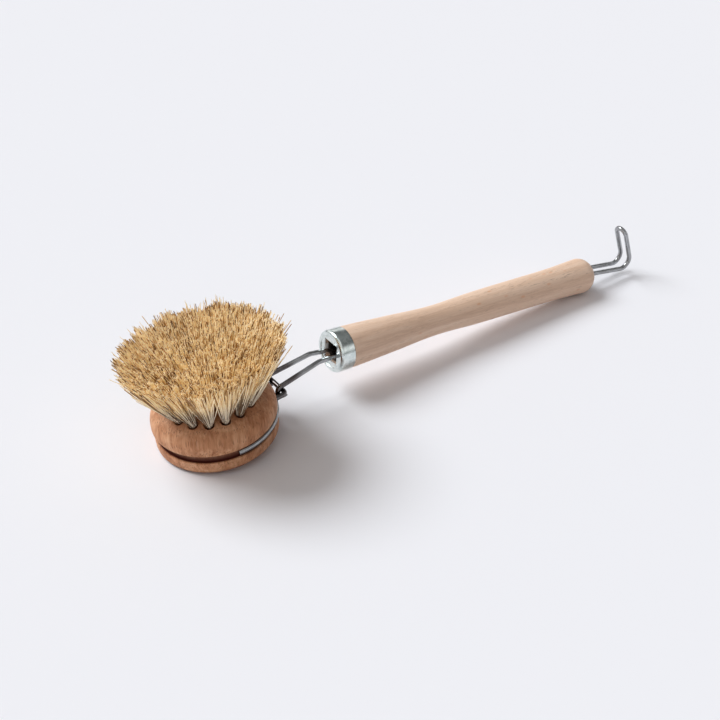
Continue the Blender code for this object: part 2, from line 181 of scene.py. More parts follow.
# Camera at the photograph's angle, and the studio
CAMERA_PLACE = (-0.2830, -0.3725, 0.3278)
CAMERA_HEADING = math.radians(55.086)
CAMERA_PITCH = math.radians(34.990)
CAMERA_LENS = 66.725
SENSOR_WIDTH = 36.0
FLOOR_SIZE = 8.0


def paint(red, green, blue):
    """A colour read as 0 to 255, as the linear values that a socket takes."""
    shares = [value / 255 for value in (red, green, blue)]
    return tuple(s / 12.92 if s <= 0.04045 else ((s + 0.055) / 1.055) ** 2.4 for s in shares)


class Socket:
    """A node's output: arithmetic on it adds Math nodes, and [name] gives another output."""

    def __init__(self, graph, output):
        self.graph = graph
        self.output = output

    def __getitem__(self, key):
        return Socket(self.graph, self.output.node.outputs[key])

    def math(self, operation, *others):
        """A Math node on this value and others."""
        values = dict(enumerate((self, *others)))
        return self.graph.node("ShaderNodeMath", {"operation": operation}, values)

    def __add__(self, other):
        return self.math("ADD", other)

    def __sub__(self, other):
        return self.math("SUBTRACT", other)

    def __rsub__(self, other):
        return self.math("MULTIPLY_ADD", -1.0, other)

    def __mul__(self, other):
        return self.math("MULTIPLY", other)

    def __pow__(self, power):
        return self.math("POWER", power)

    def __gt__(self, other):
        return self.math("GREATER_THAN", other)

    def __lt__(self, other):
        return self.math("LESS_THAN", other)

    __radd__ = __add__


class Graph:
    """A node tree that is being built, for a material or for Geometry Nodes."""

    def __init__(self, tree):
        self.tree = tree

    def node(self, kind, settings=None, inputs=None):
        """A node of a kind: its settings come first, then its sockets' values or links."""
        made = self.tree.nodes.new(kind)
        for name, value in (settings or {}).items():
            if name == "stops":
                self.set_stops(made.color_ramp, value)
            else:
                setattr(made, name, value)
        for key, value in (inputs or {}).items():
            if isinstance(value, Socket):
                self.tree.links.new(value.output, made.inputs[key])
            else:
                made.inputs[key].default_value = value
        return Socket(self, made.outputs[0]) if made.outputs else made

    @staticmethod
    def set_stops(ramp, stops):
        """A colour ramp's stops, as (place, linear colour) pairs."""
        while len(ramp.elements) < len(stops):
            ramp.elements.new(1.0)
        for element, (place, colour) in zip(ramp.elements, stops):
            element.position = place
            element.color = (*colour, 1.0)


def vector_math(graph, operation, *values):
    """A Vector Math node on vectors."""
    return graph.node("ShaderNodeVectorMath", {"operation": operation}, dict(enumerate(values)))


def stretched(graph, vector, scales):
    """A vector with each of its axes scaled."""
    return vector_math(graph, "MULTIPLY", vector, scales)


def vector_sum(graph, total, *others):
    """The sum of vectors."""
    for other in others:
        total = vector_math(graph, "ADD", total, other)
    return total


def vector_scaled(graph, vector, scale):
    """A vector times a number."""
    return graph.node("ShaderNodeVectorMath", {"operation": "SCALE"}, {0: vector, "Scale": scale})


def apart(graph, first, second):
    """The distance between two places."""
    return vector_math(graph, "DISTANCE", first, second)["Value"]


def mixed(graph, factor, first, second):
    """Two colours mixed by a factor."""
    first = (*first, 1.0) if isinstance(first, tuple) else first
    second = (*second, 1.0) if isinstance(second, tuple) else second
    return graph.node("ShaderNodeMix", {"data_type": "RGBA"}, {0: factor, 6: first, 7: second})[2]


def toned(graph, value, stops):
    """The colour at a value, from (place, linear colour) stops."""
    return graph.node("ShaderNodeValToRGB", {"stops": stops}, {0: value})


def ramped(graph, value, low, high):
    """A smooth step from 0 at low to 1 at high."""
    settings = {"interpolation_type": "SMOOTHSTEP"}
    return graph.node("ShaderNodeMapRange", settings, {0: value, 1: low, 2: high})


def noise(graph, vector, scale, detail=2.0, roughness=0.5, distortion=0.0):
    """Noise around 0.5 on a vector."""
    values = {"Vector": vector, "Scale": scale, "Detail": detail, "Roughness": roughness,
              "Distortion": distortion}
    return graph.node("ShaderNodeTexNoise", {}, values)


def grained(graph, vector, scales, detail=3.0, roughness=0.6, distortion=0.0):
    """Noise around 0.5 with a scale of its own along each axis."""
    return noise(graph, stretched(graph, vector, scales), 1.0, detail, roughness, distortion)


def flecked(graph, vector, scales, least, edges):
    """1 in the middle of some of many scattered cells, 0 around it."""
    cells = graph.node("ShaderNodeTexVoronoi", {}, {
        "Vector": stretched(graph, vector, scales), "Scale": 1.0})
    chosen = graph.node("ShaderNodeSeparateColor", {}, {0: cells["Color"]}) > least
    return (1 - ramped(graph, cells, *edges)) * chosen


def bumped(graph, height, strength, distance):
    """A normal that follows a height."""
    values = {"Strength": strength, "Distance": distance, "Height": height}
    return graph.node("ShaderNodeBump", {}, values)


def own_place(graph, matrix):
    """Object coordinates turned into a piece's own frame."""
    place = graph.node("ShaderNodeTexCoord")["Object"]
    back = matrix.inverted()
    values = {"Vector": place, "Location": back.translation, "Rotation": back.to_euler()}
    return graph.node("ShaderNodeMapping", {"vector_type": "POINT"}, values)


def turned_place(graph, place):
    """Height along a turned piece's axis, and distance from that axis."""
    axes = graph.node("ShaderNodeSeparateXYZ", {}, {0: place})
    return axes["Z"], (axes["X"] * axes["X"] + axes["Y"] * axes["Y"]) ** 0.5


def carried(graph, name):
    """An attribute that the mesh carries: its "Fac" is a number, its "Vector" a vector."""
    return graph.node("ShaderNodeAttribute", {"attribute_name": name})


def finish_of(name):
    """A new material's graph, with only its output node."""
    made = bpy.data.materials.new(name)
    made.use_nodes = True
    made.node_tree.nodes.clear()
    return made, Graph(made.node_tree)


def surface(graph, values):
    """The Principled shader of a finish, linked to its output."""
    shader = graph.node("ShaderNodeBsdfPrincipled", {}, values)
    graph.node("ShaderNodeOutputMaterial", {}, {"Surface": shader})


# Finishes: a grain's scales are its waves per metre along each axis

WOOD_BUMP = 0.0002

HANDLE_PALE = paint(244, 216, 194)
HANDLE_MID = paint(230, 196, 170)
HANDLE_DARK = paint(204, 166, 140)
HANDLE_PORE = paint(160, 122, 98)
HANDLE_FLECK = paint(224, 160, 112)
MOUTH_PAINTED_SHADE = paint(26, 15, 10)
HANDLE_STOPS = ((0.28, HANDLE_DARK), (0.46, HANDLE_MID), (0.68, HANDLE_PALE))
HANDLE_BANDS = (260, 260, 7)
HANDLE_STREAKS = (1500, 1500, 30)
HANDLE_FIBRES = (3600, 3600, 240)
HANDLE_WEAR = (110, 110, 16)
HANDLE_SPOTS = (420, 420, 190)


def handle_wood(matrix):
    """Long, fine-grained beech: bands, streaks and small flecks along the handle, and painted shade
    in the mouth behind the ferrule's window.
    """
    made, graph = finish_of("turned_beech")
    place = own_place(graph, matrix)
    bands = grained(graph, place, HANDLE_BANDS, 3.0, 0.55, 0.4)
    streaks = grained(graph, place, HANDLE_STREAKS)
    fine = grained(graph, place, HANDLE_FIBRES, 2.0)
    colour = toned(graph, bands * 0.6 + streaks * 0.4, HANDLE_STOPS)
    pores = ramped(graph, fine, 0.52, 0.70) * ramped(graph, streaks, 0.40, 0.60)
    worn = ramped(graph, grained(graph, place, HANDLE_WEAR, 2.0, 0.5), 0.48, 0.66)
    colour = mixed(graph, pores * (0.4 + worn * 0.5), colour, HANDLE_PORE)
    flecks = flecked(graph, place, HANDLE_SPOTS, 0.72, (0.10, 0.34))
    colour = mixed(graph, flecks * 0.5, colour, HANDLE_FLECK)
    height, outward = turned_place(graph, place)
    # Painted shade: the mouth behind the ferrule's window is painted near-black, as the unlit
    # hollow looks
    mouth = ramped(graph, outward, MOUTH_RADIUS, (MOUTH_RADIUS + BORE_RADIUS) / 2)
    mouth = mouth * (height < HANDLE_SHOULDER)
    colour = mixed(graph, mouth * 0.96, colour, MOUTH_PAINTED_SHADE)
    normal = bumped(graph, streaks * 0.5 - pores * 0.5, 0.25, WOOD_BUMP)
    surface(graph, {"Base Color": colour, "Roughness": 0.48 + fine * 0.16, "Normal": normal})
    return made


HEAD_PALE = paint(236, 188, 150)
HEAD_MID = paint(202, 143, 104)
HEAD_DARK = paint(148, 88, 54)
HEAD_FLECK = paint(112, 64, 40)
STAIN_AND_PAINTED_SHADE = paint(72, 20, 6)
HEAD_STOPS = ((0.28, HEAD_DARK), (0.48, HEAD_MID), (0.70, HEAD_PALE))
HEAD_BANDS = (24, 190, 260)
HEAD_STREAKS = (60, 1100, 1100)
HEAD_FIBRES = (300, 3600, 3600)
HEAD_SPOTS = (220, 2000, 2000)
HEAD_BLOTCHES = 120.0
HEAD_FIBRE = (0.57, 0.82)
HEAD_FIBRE_LEAN = math.radians(55)


def head_wood(matrix):
    """Flecked beech of the head: short dark flecks along the grain, a stain with painted shade in
    the groove, and painted shade on the rounded rim of the back.
    """
    made, graph = finish_of("head_beech")
    place = own_place(graph, matrix)
    fibre = Vector((*HEAD_FIBRE, 0)).normalized() * math.cos(HEAD_FIBRE_LEAN)
    fibre.z = math.sin(HEAD_FIBRE_LEAN)
    turn = fibre.to_track_quat("X", "Z").to_matrix().inverted().to_euler()
    grain = graph.node("ShaderNodeMapping", {"vector_type": "POINT"},
                       {"Vector": place, "Rotation": turn})
    bands = grained(graph, grain, HEAD_BANDS, distortion=0.9)
    streaks = grained(graph, grain, HEAD_STREAKS)
    fine = grained(graph, grain, HEAD_FIBRES, 2.0)
    colour = toned(graph, bands * 0.6 + streaks * 0.4, HEAD_STOPS)
    colour = mixed(graph, ramped(graph, fine, 0.55, 0.75) * 0.25, colour, HEAD_DARK)
    blotches = noise(graph, place, HEAD_BLOTCHES, 3.0, 0.6, 0.5)
    colour = mixed(graph, ramped(graph, blotches, 0.46, 0.66) * 0.35, colour, HEAD_DARK)
    colour = mixed(graph, ramped(graph, blotches, 0.46, 0.30) * 0.35, colour, HEAD_PALE)
    flecks = flecked(graph, grain, HEAD_SPOTS, 0.5, (0.14, 0.42))
    colour = mixed(graph, flecks * 0.62, colour, HEAD_FLECK)
    height, outward = turned_place(graph, place)
    # A stain with painted shade in the groove under the lip, darker towards the groove's bottom at
    # the flange
    above = ramped(graph, height, FLANGE_HEIGHT - EDGE_BREAK / 2, FLANGE_HEIGHT)
    below = ramped(graph, height, GROOVE_TOP + EDGE_BREAK / 2, GROOVE_TOP - EDGE_BREAK / 2)
    inside = ramped(graph, outward, FLANGE_RADIUS - EDGE_BREAK, GROOVE_RADIUS + EDGE_BREAK)
    deep = ramped(graph, height, GROOVE_TOP, FLANGE_HEIGHT) * 0.5 + 0.5
    colour = mixed(graph, above * below * inside * deep, colour, STAIN_AND_PAINTED_SHADE)
    # Painted shade on the rounded lower rim of the back, where it meets the table
    painted_rim_shade = ramped(graph, height, BACK_EDGE, 0.0)
    painted_rim_shade = painted_rim_shade * ramped(graph, outward, BACK_FLAT_RADIUS, FLANGE_RADIUS)
    colour = mixed(graph, painted_rim_shade, colour, STAIN_AND_PAINTED_SHADE)
    normal = bumped(graph, streaks * 0.5 + fine * 0.3 - flecks * 0.6, 0.30, WOOD_BUMP)
    surface(graph, {"Base Color": colour, "Roughness": 0.50 + fine * 0.16, "Normal": normal,
                    "Specular IOR Level": 0.3})
    return made


ZINC_PALE = paint(232, 238, 236)
ZINC_DULL = paint(206, 216, 214)
ZINC_CLOUDS = 420.0
ZINC_SCRATCHES = (300, 300, 5200)
ZINC_BUMP = 0.00006


def zinc_sheet(matrix):
    """Drawn zinc-plated sheet: satin, slightly clouded, with fine scratches round it."""
    made, graph = finish_of("zinc_sheet")
    place = own_place(graph, matrix)
    clouds = noise(graph, place, ZINC_CLOUDS, 4.0, 0.6, 0.6)
    scratches = grained(graph, place, ZINC_SCRATCHES, 2.0)
    colour = mixed(graph, ramped(graph, clouds, 0.35, 0.68), ZINC_DULL, ZINC_PALE)
    normal = bumped(graph, scratches * 0.7 + clouds * 0.5, 0.10, ZINC_BUMP)
    surface(graph, {"Base Color": colour, "Metallic": 1.0, "Roughness": 0.14 + clouds * 0.14,
                    "Normal": normal})
    return made


WIRE_PALE = paint(186, 188, 192)
WIRE_MID = paint(130, 129, 128)
WIRE_SCRATCH = paint(92, 86, 80)
WIRE_PAINTED_SHADE = paint(62, 44, 38)
PAINTED_SHADE_REACH = (0.0125, 0.0085)
WIRE_STREAKS = (2.2, 2.2, 45)
WIRE_PATCHES = (0.5, 0.5, 160)
WIRE_SCRATCHES = (9.0, 9.0, 120)
WIRE_BUMP = 0.00005


def drawn_wire(bar):
    """Drawn spring wire: dull plating streaked along it, with painted shade darkening it round the
    eyes.
    """
    made, graph = finish_of("drawn_wire")
    lengthwise = graph.node("ShaderNodeCombineXYZ", {}, {2: carried(graph, "along")["Fac"]})
    place = vector_sum(graph, carried(graph, "ring")["Vector"], lengthwise)
    streaks = grained(graph, place, WIRE_STREAKS)
    patches = grained(graph, place, WIRE_PATCHES)
    scratches = grained(graph, place, WIRE_SCRATCHES, 2.0)
    tone = ramped(graph, streaks * 0.6 + patches * 0.4, 0.34, 0.66)
    colour = mixed(graph, tone, WIRE_MID, WIRE_PALE)
    colour = mixed(graph, ramped(graph, scratches, 0.58, 0.74) * 0.4, colour, WIRE_SCRATCH)
    # Painted shade: the wire darkens near the clip's bar, round the eyes, which lie in shade under
    # the bristles
    here = graph.node("ShaderNodeTexCoord")["Object"]
    eye_shade = ramped(graph, apart(graph, here, bar), *PAINTED_SHADE_REACH)
    colour = mixed(graph, eye_shade * (0.85 - patches * 0.3), colour, WIRE_PAINTED_SHADE)
    normal = bumped(graph, streaks * 0.5 + scratches * 0.5, 0.14, WIRE_BUMP)
    surface(graph, {"Base Color": colour, "Metallic": 1.0, "Roughness": 0.10 + patches * 0.14,
                    "Normal": normal})
    return made


BRISTLE_STOPS = ((0.0, paint(255, 244, 226)), (0.46, paint(255, 241, 212)),
                 (0.64, paint(254, 233, 190)), (0.80, paint(230, 190, 130)),
                 (1.0, paint(150, 98, 52)))
BRISTLE_BROWN = paint(104, 66, 40)
BRISTLE_PAINTED_SHADE = paint(104, 66, 42)
BRISTLE_GLOW = paint(255, 216, 146)
BRISTLE_GLOW_STRENGTH = 0.22
BROWN_FROM = 0.955


def bristle_fibre():
    """Natural fibre: cream roots, golden tips and some brown ends, with painted shade on the lower
    half of some fibres.

    A weak golden glow stands for the light that many fibres scatter from one to the next.
    """
    made, graph = finish_of("bristle_fibre")
    along = carried(graph, "along")["Fac"]
    tone = carried(graph, "tone")["Fac"]
    colour = toned(graph, tone * 0.80 + ramped(graph, along, 0.35, 1.0) * 0.24, BRISTLE_STOPS)
    # Painted shade: a share of the fibres is darkened in its lower half, for the shadowed gaps deep
    # in a tight bundle
    painted_shade = ramped(graph, tone, 0.58, 0.66) * ramped(graph, along, 0.75, 0.35)
    colour = mixed(graph, painted_shade * 0.85, colour, BRISTLE_PAINTED_SHADE)
    brown = (tone > BROWN_FROM) * ramped(graph, along, 0.35, 0.75)
    colour = mixed(graph, brown * 0.85, colour, BRISTLE_BROWN)
    glowing = ramped(graph, along, 0.20, 0.80) * (1.5 - tone * 1.9) * (1 - brown)
    glow = mixed(graph, glowing, (0.0, 0.0, 0.0), BRISTLE_GLOW)
    surface(graph, {"Base Color": colour, "Roughness": 0.38 + tone * 0.12, "Emission Color": glow,
                    "Emission Strength": BRISTLE_GLOW_STRENGTH})
    return made


# Geometry Nodes

def node_group(name, inputs):
    """A new Geometry Nodes tree with named inputs, and its group input's sockets."""
    tree = bpy.data.node_groups.new(name, "GeometryNodeTree")
    tree.interface.new_socket(name="Geometry", in_out="INPUT", socket_type="NodeSocketGeometry")
    for label, kind in inputs:
        tree.interface.new_socket(name=label, in_out="INPUT", socket_type=f"NodeSocket{kind}")
    tree.interface.new_socket(name="Geometry", in_out="OUTPUT", socket_type="NodeSocketGeometry")
    graph = Graph(tree)
    return tree, graph, graph.node("NodeGroupInput")


def ended(graph, geometry, material):
    """Realize Instances and Set Material, which end each tree."""
    real = graph.node("GeometryNodeRealizeInstances", {}, {"Geometry": geometry})
    dressed = graph.node("GeometryNodeSetMaterial", {}, {"Geometry": real, "Material": material})
    graph.node("NodeGroupOutput", {}, {"Geometry": dressed})


def stored(graph, geometry, name, value, kind="FLOAT"):
    """Geometry with a value stored on its points under a name."""
    settings = {"data_type": kind, "domain": "POINT"}
    return graph.node("GeometryNodeStoreNamedAttribute", settings,
                      {"Geometry": geometry, "Name": name, "Value": value})


def attribute(graph, name, kind="FLOAT"):
    """A named attribute as a field."""
    return graph.node("GeometryNodeInputNamedAttribute", {"data_type": kind}, {"Name": name})


def weighted(graph, name, weight):
    """A stored vector times a number."""
    return vector_scaled(graph, attribute(graph, name, "FLOAT_VECTOR"), weight)


def random_value(graph, low, high, seed):
    """A random number for each element, from a fixed seed."""
    return graph.node("FunctionNodeRandomValue", {"data_type": "FLOAT"},
                      {2: low, 3: high, "Seed": seed})[1]


def turning_tree():
    """Turns an outline, given as the points of a mesh, about the Z axis."""
    tree, graph, given = node_group("turn an outline", [
        ("Steps", "Int"), ("Points", "Int"), ("Weld", "Float"), ("Finish", "Material")])
    position = graph.node("GeometryNodeInputPosition")
    grid = graph.node("GeometryNodeMeshGrid", {}, {
        "Size X": 1.0, "Size Y": 1.0,
        "Vertices X": given["Steps"] + 1, "Vertices Y": given["Points"]})
    place = graph.node("ShaderNodeSeparateXYZ", {}, {0: position})
    angle = (place["X"] + 0.5) * math.tau
    row = ((place["Y"] + 0.5) * (given["Points"] - 1)).math("ROUND")
    point = graph.node("GeometryNodeSampleIndex", {"data_type": "FLOAT_VECTOR"}, {
        "Geometry": given["Geometry"], "Value": position, "Index": row})
    outline = graph.node("ShaderNodeSeparateXYZ", {}, {0: point})
    turned_point = graph.node("ShaderNodeCombineXYZ", {}, {
        0: outline["X"] * angle.math("COSINE"), 1: outline["X"] * angle.math("SINE"),
        2: outline["Z"]})
    shaped = graph.node("GeometryNodeSetPosition", {}, {"Geometry": grid, "Position": turned_point})
    closed = graph.node("GeometryNodeMergeByDistance", {}, {
        "Geometry": shaped, "Distance": given["Weld"]})
    ended(graph, closed, given["Finish"])
    return tree


def wire_tree():
    """Draws a round wire along a path, with its length and its ring stored on its surface."""
    tree, graph, given = node_group("draw a wire", [
        ("Radius", "Float"), ("Sides", "Int"), ("Finish", "Material")])
    length = graph.node("GeometryNodeSplineParameter")["Length"]
    path = stored(graph, given["Geometry"], "along", length)
    ring = graph.node("GeometryNodeCurvePrimitiveCircle", {"mode": "RADIUS"}, {
        "Resolution": given["Sides"], "Radius": 1.0})
    ring = stored(graph, ring, "ring", graph.node("GeometryNodeInputPosition"), "FLOAT_VECTOR")
    thin = graph.node("GeometryNodeTransform", {}, {
        "Geometry": ring, "Scale": vector_scaled(graph, (1.0, 1.0, 1.0), given["Radius"])})
    tube = graph.node("GeometryNodeCurveToMesh", {}, {
        "Curve": path, "Profile Curve": thin, "Fill Caps": True})
    ended(graph, tube, given["Finish"])
    return tree


def drilling_tree():
    """Sets a drill on every point, along the direction stored there."""
    tree, graph, given = node_group("set the drills", [("Drill", "Object"), ("Finish", "Material")])
    drill = graph.node("GeometryNodeObjectInfo", {"transform_space": "ORIGINAL"}, {
        "Object": given["Drill"]})["Geometry"]
    turn = graph.node("FunctionNodeAlignRotationToVector", {"axis": "Z"}, {
        "Vector": attribute(graph, "axis", "FLOAT_VECTOR")})
    points = graph.node("GeometryNodeMeshToPoints", {}, {"Mesh": given["Geometry"]})
    placed = graph.node("GeometryNodeInstanceOnPoints", {}, {
        "Points": points, "Instance": drill, "Rotation": turn})
    ended(graph, placed, given["Finish"])
    return tree


def bristle_tree():
    """Grows a bundle of tapering, slightly bent bristles out of every hole."""
    tree, graph, given = node_group("grow bristles", [
        ("Bristles", "Int"), ("Hole radius", "Float"), ("Sink", "Float"), ("Thickness", "Float"),
        ("Trim", "Float"), ("Clumps", "Float"), ("Clump depth", "Float"), ("Stray", "Float"),
        ("Seed", "Int"), ("Finish", "Material")])
    seed = given["Seed"]
    holes = graph.node("GeometryNodeMeshToPoints", {}, {"Mesh": given["Geometry"]})
    roots = graph.node("GeometryNodeDuplicateElements", {"domain": "POINT"}, {
        "Geometry": holes, "Amount": given["Bristles"]})
    # Its start, anywhere in the hole
    angle = random_value(graph, 0.0, math.tau, seed)
    spread = random_value(graph, 0.0, 1.0, seed + 1) ** 0.5
    across = spread * angle.math("COSINE")
    aside = spread * angle.math("SINE")
    hole = vector_sum(graph, weighted(graph, "ahead", across * given["Hole radius"]),
                      weighted(graph, "side", aside * given["Hole radius"]))
    start = vector_sum(graph, graph.node("GeometryNodeInputPosition"), hole,
                       weighted(graph, "axis", given["Sink"] * -1))
    # Its tip, in the tuft's own cell of the trimmed surface
    strays = random_value(graph, 0.0, 1.0, seed + 2) > STRAY_FROM
    loose = strays * given["Stray"] + BRISTLE_LOOSENESS
    reach = across + random_value(graph, -1.0, 1.0, seed + 3) * loose
    swing = aside + random_value(graph, -1.0, 1.0, seed + 4) * loose
    cell = vector_sum(graph, weighted(graph, "reach", reach), weighted(graph, "swing", swing))
    tip = vector_sum(graph, attribute(graph, "tip", "FLOAT_VECTOR"), cell)
    cut = random_value(graph, 0.0, 1.0, seed + 5) ** 2.0
    sunk = ramped(graph, noise(graph, tip, given["Clumps"]), *CLUMP_EDGES)
    depth = cut * given["Trim"] + sunk * given["Clump depth"]
    tip = vector_sum(graph, tip, weighted(graph, "axis", depth * -1))
    # The point that bends it
    way = vector_sum(graph, tip, vector_scaled(graph, start, -1.0))
    bend = graph.node("FunctionNodeRandomValue", {"data_type": "FLOAT_VECTOR"}, {
        0: [-most for most in BOW_SPREAD], 1: BOW_SPREAD, "Seed": seed + 6})
    middle = vector_sum(graph, start, vector_scaled(graph, way, BOW_PLACE),
                        weighted(graph, "axis", apart(graph, start, tip) * BOW_HEIGHT), bend)
    for name, place in (("start", start), ("middle", middle), ("end", tip)):
        roots = stored(graph, roots, name, place, "FLOAT_VECTOR")
    roots = stored(graph, roots, "tone", random_value(graph, 0.0, 1.0, seed + 7))
    # One line for each root, set on its curve
    line = graph.node("GeometryNodeCurvePrimitiveLine", {"mode": "POINTS"})
    line = graph.node("GeometryNodeResampleCurve", {}, {"Curve": line, "Count": BRISTLE_POINTS})
    grown = graph.node("GeometryNodeInstanceOnPoints", {}, {"Points": roots, "Instance": line})
    grown = graph.node("GeometryNodeRealizeInstances", {}, {"Geometry": grown})
    grown = stored(graph, grown, "along", graph.node("GeometryNodeSplineParameter"))
    along = attribute(graph, "along")
    rest = 1 - along
    curve = vector_sum(graph, weighted(graph, "start", rest * rest),
                       weighted(graph, "middle", rest * along * 2),
                       weighted(graph, "end", along * along))
    grown = graph.node("GeometryNodeSetPosition", {}, {"Geometry": grown, "Position": curve})
    ring = graph.node("GeometryNodeCurvePrimitiveCircle", {"mode": "RADIUS"}, {
        "Resolution": BRISTLE_SIDES, "Radius": 1.0})
    taper = ROOT_THICKNESS + along * rest * BODY_THICKNESS + along * TIP_THICKNESS
    least, gain = TONE_THICKNESS
    thickness = given["Thickness"] * taper * (least + attribute(graph, "tone") * gain)
    tube = graph.node("GeometryNodeCurveToMesh", {}, {
        "Curve": grown, "Profile Curve": ring, "Scale": thickness, "Fill Caps": True})
    ended(graph, tube, given["Finish"])
    return tree


# Making pieces

def added(name, data):
    """A new object of the scene."""
    made = bpy.data.objects.new(name, data)
    bpy.context.scene.collection.objects.link(made)
    return made


def evaluated(name, source):
    """The mesh that an object's modifiers make."""
    graph = bpy.context.evaluated_depsgraph_get()
    made = bpy.data.meshes.new_from_object(source.evaluated_get(graph))
    made.name = name
    return made


def shaped(name, data, tree, values):
    """A mesh made by a Geometry Nodes tree from an object's data, with its inputs set first."""
    source = added(name + "_source", data)
    step = source.modifiers.new("nodes", "NODES")
    step.node_group = tree
    for item in tree.interface.items_tree:
        if item.in_out == "INPUT" and item.name in values:
            step[item.identifier] = values[item.name]
    made = evaluated(name, source)
    bpy.data.objects.remove(source, do_unlink=True)
    return made


def closed_up(made, matrix=None):
    """A mesh moved to its place, its doubles merged, its faces outward and its edges sharp."""
    if matrix:
        made.transform(matrix)
    work = bmesh.new()
    work.from_mesh(made)
    bmesh.ops.remove_doubles(work, verts=work.verts, dist=WELD_DISTANCE)
    bmesh.ops.recalc_face_normals(work, faces=work.faces)
    work.to_mesh(made)
    work.free()
    made.shade_smooth()
    made.set_sharp_from_angle(angle=SHARP_ANGLE)
    return made


def piece(name, made, body, replaced):
    """A finished piece: its object at the origin, riding on a body in place of CAD nodes."""
    shown = added(name, made)
    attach(shown, body)
    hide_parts(*replaced)


def point_mesh(name, points, fields=None):
    """A mesh of loose points with named vectors."""
    made = bpy.data.meshes.new(name)
    made.from_pydata([tuple(point) for point in points], [], [])
    for label, vectors in (fields or {}).items():
        layer = made.attributes.new(label, "FLOAT_VECTOR", "POINT")
        for row, vector in zip(layer.data, vectors):
            row.vector = vector
    return made


def turned(name, outline, steps, tree, finish, matrix):
    """A turned mesh: an outline of (radius, height) pairs about its own Z axis."""
    points = point_mesh(name + "_outline", [(radius, 0, height) for radius, height in outline])
    values = {"Steps": steps, "Points": len(outline), "Weld": WELD_DISTANCE, "Finish": finish}
    return closed_up(shaped(name, points, tree, values), matrix)


def drawn(name, path, tree, finish, matrix=None):
    """A wire's mesh along a path."""
    line = bpy.data.curves.new(name + "_path", "CURVE")
    line.dimensions = "3D"
    spline = line.splines.new("POLY")
    spline.points.add(len(path) - 1)
    for target, point in zip(spline.points, path):
        target.co = (*point, 1.0)
    values = {"Radius": WIRE_RADIUS, "Sides": WIRE_SIDES, "Finish": finish}
    return closed_up(shaped(name, line, tree, values), matrix)


def cut_or_joined(made, tools):
    """A mesh after exact Booleans with (operation, tool mesh) pairs."""
    target = added(made.name + "_blank", made)
    used = [target]
    for operation, tool_mesh in tools:
        step = target.modifiers.new(operation, "BOOLEAN")
        step.operation = operation
        step.solver = "EXACT"
        step.object = added(made.name + "_tool", tool_mesh)
        used.append(step.object)
    result = evaluated(made.name, target)
    for item in used:
        bpy.data.objects.remove(item, do_unlink=True)
    return closed_up(result)


# Paths and outlines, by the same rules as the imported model's

def arc(centre, start, axis, angle, steps):
    """Points on the arc that turns start about centre, both ends included."""
    turns = [Matrix.Rotation(angle * step / steps, 3, axis) for step in range(steps + 1)]
    return [centre + turn @ (start - centre) for turn in turns]


def bend(before, corner, after, radius, steps):
    """Points of the round bend that replaces a corner of a wire."""
    back = (before - corner).normalized()
    ahead = (after - corner).normalized()
    half = back.angle(ahead) / 2
    start = corner + back * radius / math.tan(half)
    centre = corner + (back + ahead).normalized() * radius / math.sin(half)
    return arc(centre, start, ahead.cross(back), math.pi - 2 * half, steps)


def quarter(steps):
    """The sine and cosine of each step of a quarter turn."""
    angles = [math.pi / 2 * step / steps for step in range(steps)]
    return [(math.sin(angle), math.cos(angle)) for angle in angles] + [(1, 0)]


def dome_height(radius):
    """Height of the dome's surface over the flat back."""
    share = (radius / LIP_RADIUS) ** DOME_FULLNESS
    return DOME_FOOT + (DOME_TOP - DOME_FOOT) * (1 - share) ** (1 / DOME_FULLNESS)


def trim_height(x, y):
    """Height of the trimmed bristle tips over the flat back."""
    ahead = x * math.cos(TRIM_HEADING) + y * math.sin(TRIM_HEADING)
    crown = TRIM_CROWN * (1 - (x * x + y * y) / BRISTLE_RADIUS ** 2)
    return BRISTLE_HEIGHT + ahead * math.tan(TRIM_TILT) + crown


def head_frame(bar):
    """Head block's frame: Z along its axis, its origin in the middle of the flat back."""
    turn = Matrix.Translation(bar) @ Matrix.Rotation(-HEAD_LEAN, 4, "Y")
    return turn @ Matrix.Translation((-BAR_DISTANCE, 0, -CLIP_HEIGHT))


def handle_radius(share):
    """Radius of the handle at a share of its length, smooth through the stations."""
    spans = len(HANDLE_RADIUS_SHARES) - 1
    place = share * spans
    index = min(int(place), spans - 1)
    t = place - index
    ends = (HANDLE_RADIUS_SHARES[0], *HANDLE_RADIUS_SHARES, HANDLE_RADIUS_SHARES[-1])
    a, b, c, d = ends[index:index + 4]
    smooth = b + t * (c - a + t * (2 * a - 5 * b + 4 * c - d + t * (3 * b - a - 3 * c + d))) / 2
    return HANDLE_RADIUS * smooth


def handle_outline():
    """The handle's outer side from the bore at its rounded hook end to the ferrule's shoulder."""
    straight = HANDLE_LENGTH - HANDLE_END_ROUNDING
    last = handle_radius(straight / HANDLE_LENGTH)
    wall = min(last - BORE_RADIUS - EDGE_BREAK, HANDLE_END_ROUNDING)
    first = math.asin(1 - wall / HANDLE_END_ROUNDING)
    points = []
    for step in range(ROUNDING_STEPS):
        angle = first + (math.pi / 2 - first) * step / ROUNDING_STEPS
        height = HANDLE_END - HANDLE_END_ROUNDING * (1 - math.cos(angle))
        points.append((last - HANDLE_END_ROUNDING * (1 - math.sin(angle)), height))
    spans = (len(HANDLE_RADIUS_SHARES) - 1) * OUTLINE_STEPS
    for step in range(spans, -1, -1):
        length = straight * step / spans
        points.append((handle_radius(length / HANDLE_LENGTH), HANDLE_SHOULDER + length))
    return points


def handle_frame(bar):
    """Handle's frame: Z along it towards the hook, its lowest place on the table."""
    slope_sin, slope_cos = math.sin(HANDLE_SLOPE), math.cos(HANDLE_SLOPE)
    lift = max(radius * slope_cos + along * slope_sin for radius, along in handle_outline())
    turn = Matrix.Rotation(math.pi / 2 + HANDLE_SLOPE, 4, "Y")
    return Matrix.Translation((bar.x + NECK_SPAN, 0, lift)) @ turn


